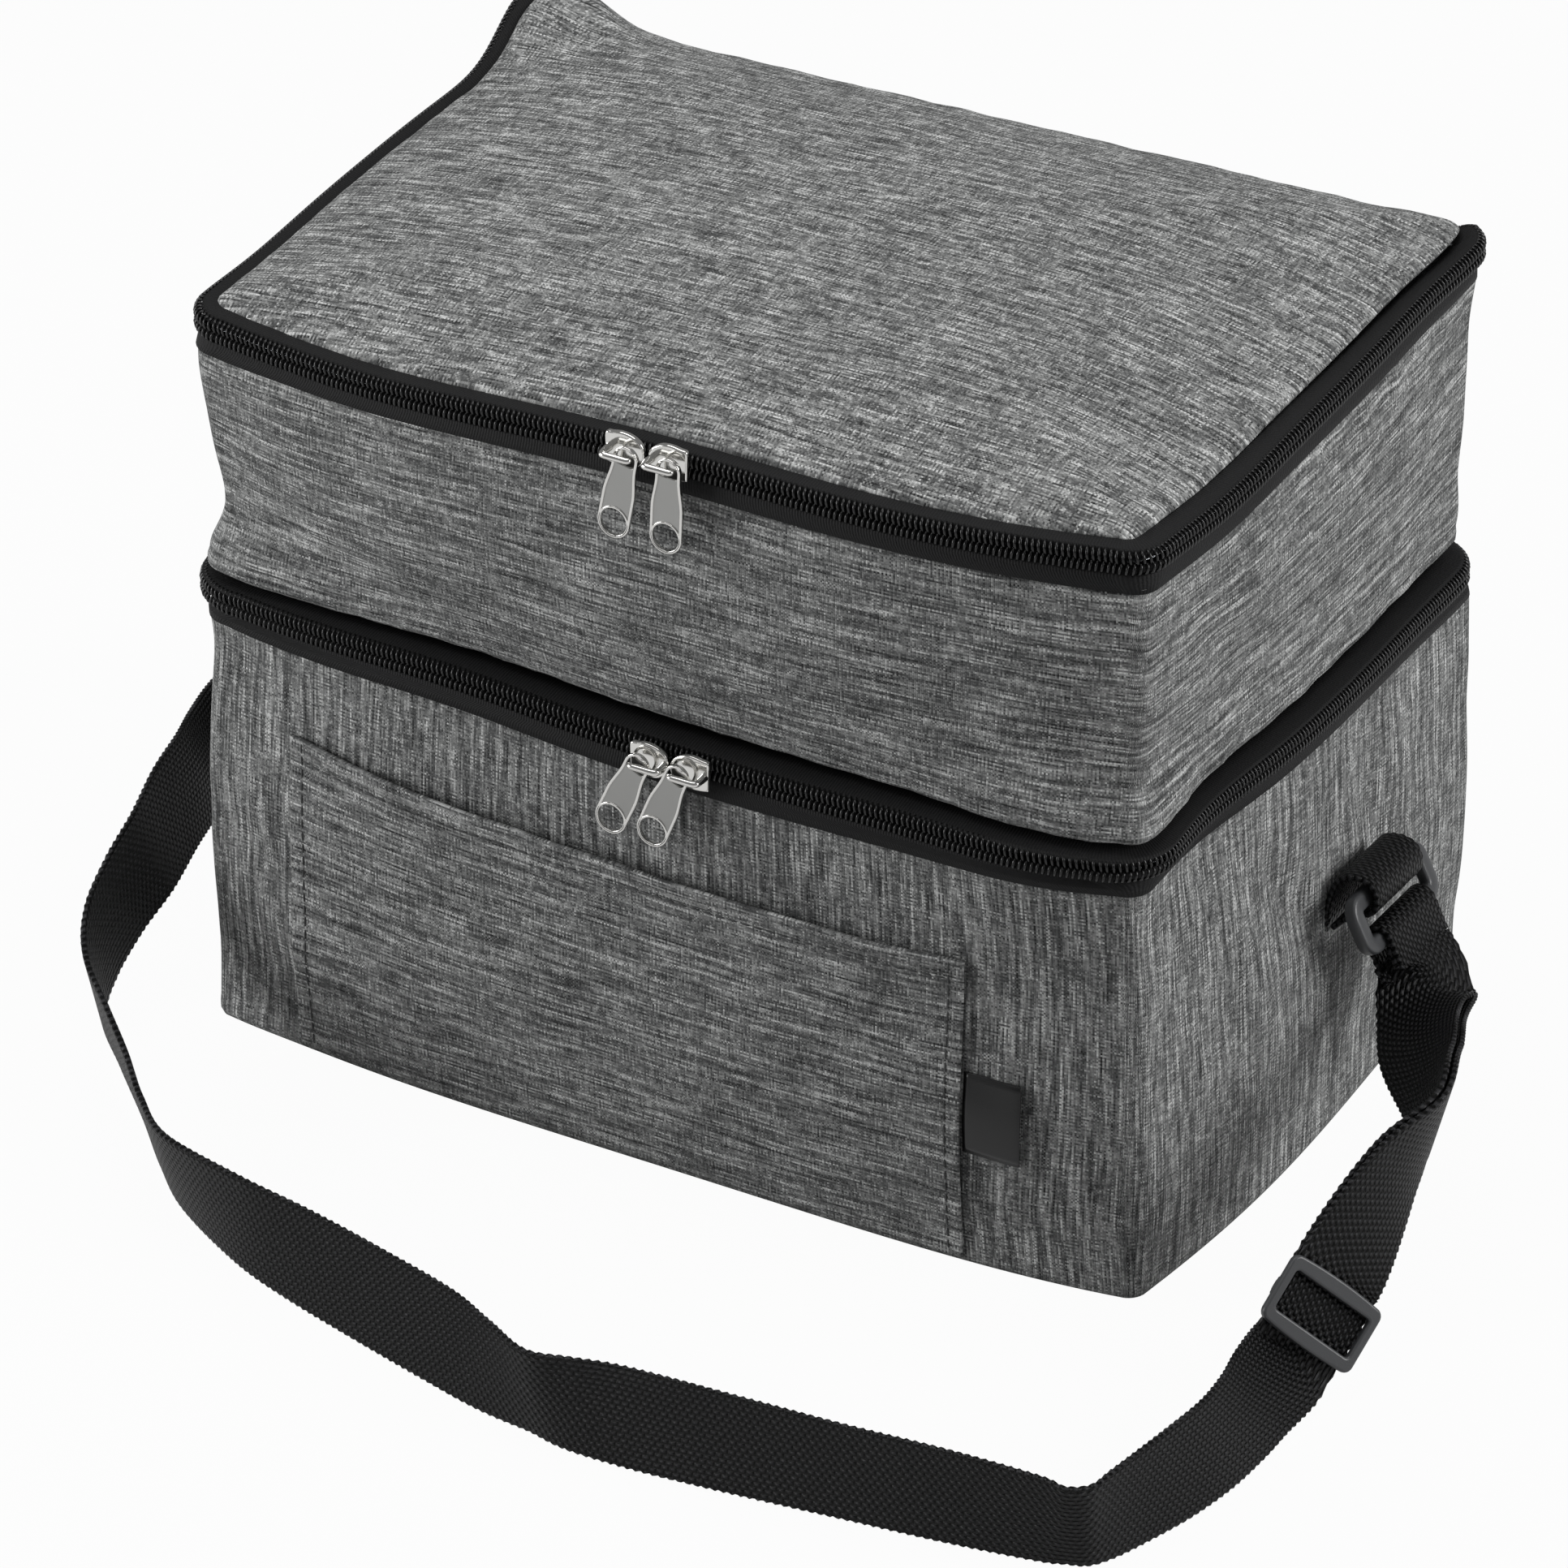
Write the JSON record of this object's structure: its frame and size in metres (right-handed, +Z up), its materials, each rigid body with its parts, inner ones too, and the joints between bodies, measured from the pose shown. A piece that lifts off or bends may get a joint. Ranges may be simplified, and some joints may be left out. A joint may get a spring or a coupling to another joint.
{
  "type": "cooler bag",
  "caption": "Soft two-stage cooler bag: two insulated compartments stacked with cloth hinges, zips round three sides, a front slip pocket and an adjustable shoulder strap.",
  "frame": {"origin": "on the floor, at the middle of the flat bottom between the side walls and between the back and the front corners", "axes": "+X to the right as seen from the front, -Y out of the front pocket, +Z up"},
  "size_m": [0.3901, 0.3102, 0.2263],
  "materials": {
    "grey_fabric": "mottled grey woven polyester",
    "insulation_foam": "closed-cell foam sheet",
    "foil_liner": "silver foil film",
    "zip_tape": "ribbed black zip tape",
    "zip_coil": "black nylon coil",
    "nickel": "nickel plate",
    "black_webbing": "black woven webbing",
    "black_plastic": "moulded black plastic",
    "satin_label": "black satin"
  },
  "bodies": {
    "lower_compartment": {"lower_base_panel": "grey_fabric", "lower_outer_wall": "grey_fabric", "lower_base_foam": "insulation_foam", "lower_wall_foam": "insulation_foam", "lower_liner": "foil_liner", "lower_zip_lower_tape": "zip_tape", "lower_zip_lower_coil": "zip_coil", "lower_hinge_leaf": "grey_fabric", "front_pocket": "grey_fabric", "side_label": "satin_label", "strap_tab_left": "black_webbing", "strap_tab_right": "black_webbing", "shoulder_strap": "black_webbing", "strap_right_run": "black_webbing", "strap_return_run": "black_webbing"},
    "upper_compartment": {"upper_base_panel": "grey_fabric", "upper_outer_wall": "grey_fabric", "upper_base_foam": "insulation_foam", "upper_wall_foam": "insulation_foam", "upper_liner": "foil_liner", "lower_zip_upper_tape": "zip_tape", "lower_zip_upper_coil": "zip_coil", "upper_zip_lower_tape": "zip_tape", "upper_zip_lower_coil": "zip_coil", "upper_base_leaf": "grey_fabric", "upper_top_leaf": "grey_fabric"},
    "lid": {"lid_panel": "grey_fabric", "lid_foam": "insulation_foam", "lid_liner": "foil_liner", "upper_zip_upper_tape": "zip_tape", "upper_zip_upper_coil": "zip_coil", "lid_hinge_leaf": "grey_fabric"},
    "slider_upper_left": {"upper_left_slider": "nickel"},
    "puller_upper_left": {"upper_left_puller": "nickel"},
    "slider_upper_right": {"upper_right_slider": "nickel"},
    "puller_upper_right": {"upper_right_puller": "nickel"},
    "slider_lower_left": {"lower_left_slider": "nickel"},
    "puller_lower_left": {"lower_left_puller": "nickel"},
    "slider_lower_right": {"lower_right_slider": "nickel"},
    "puller_lower_right": {"lower_right_puller": "nickel"},
    "ring_left": {"strap_ring_left": "black_plastic", "strap_loop_left": "black_webbing"},
    "ring_right": {"strap_ring_right": "black_plastic", "strap_loop_right": "black_webbing"},
    "adjuster": {"strap_adjuster": "black_plastic"}
  },
  "joints": [
    {"name": "upper_compartment_hinge", "type": "hinge", "parent": "lower_compartment", "child": "upper_compartment", "pos_m": [0, 0.0906, 0.1235], "axis": [-1, 0, 0], "range_deg": [0, 100]},
    {"name": "lid_hinge", "type": "hinge", "parent": "upper_compartment", "child": "lid", "pos_m": [0, 0.0906, 0.2095], "axis": [-1, 0, 0], "range_deg": [0, 110]},
    {"name": "upper_left_slider_run", "type": "slide", "parent": "upper_compartment", "child": "slider_upper_left", "axis": [-1, 0, 0], "range_m": [0, 0.06]},
    {"name": "upper_right_slider_run", "type": "slide", "parent": "upper_compartment", "child": "slider_upper_right", "axis": [1, 0, 0], "range_m": [0, 0.06]},
    {"name": "lower_left_slider_run", "type": "slide", "parent": "lower_compartment", "child": "slider_lower_left", "axis": [-1, 0, 0], "range_m": [0, 0.06]},
    {"name": "lower_right_slider_run", "type": "slide", "parent": "lower_compartment", "child": "slider_lower_right", "axis": [1, 0, 0], "range_m": [0, 0.06]},
    {"name": "upper_left_puller_lift", "type": "hinge", "parent": "slider_upper_left", "child": "puller_upper_left", "pos_m": [-0.0023, -0.1073, 0.2095], "axis": [-1, 0, 0], "range_deg": [0, 140]},
    {"name": "upper_right_puller_lift", "type": "hinge", "parent": "slider_upper_right", "child": "puller_upper_right", "pos_m": [0.0097, -0.1073, 0.2095], "axis": [-1, 0, 0], "range_deg": [0, 140]},
    {"name": "lower_left_puller_lift", "type": "hinge", "parent": "slider_lower_left", "child": "puller_lower_left", "pos_m": [0.004, -0.1073, 0.1235], "axis": [-1, 0, 0], "range_deg": [0, 140]},
    {"name": "lower_right_puller_lift", "type": "hinge", "parent": "slider_lower_right", "child": "puller_lower_right", "pos_m": [0.0154, -0.1073, 0.1235], "axis": [-1, 0, 0], "range_deg": [0, 140]},
    {"name": "left_ring_swing", "type": "hinge", "parent": "lower_compartment", "child": "ring_left", "pos_m": [-0.15, 0.014, 0.073], "axis": [0, 1, 0], "range_deg": [0, 40]},
    {"name": "right_ring_swing", "type": "hinge", "parent": "lower_compartment", "child": "ring_right", "pos_m": [0.15, 0.014, 0.073], "axis": [0, -1, 0], "range_deg": [0, 40]},
    {"name": "adjuster_slide", "type": "slide", "parent": "lower_compartment", "child": "adjuster", "axis": [0.1593, 0.7493, 0.6428], "range_m": [-0.004, 0.004]}
  ]
}
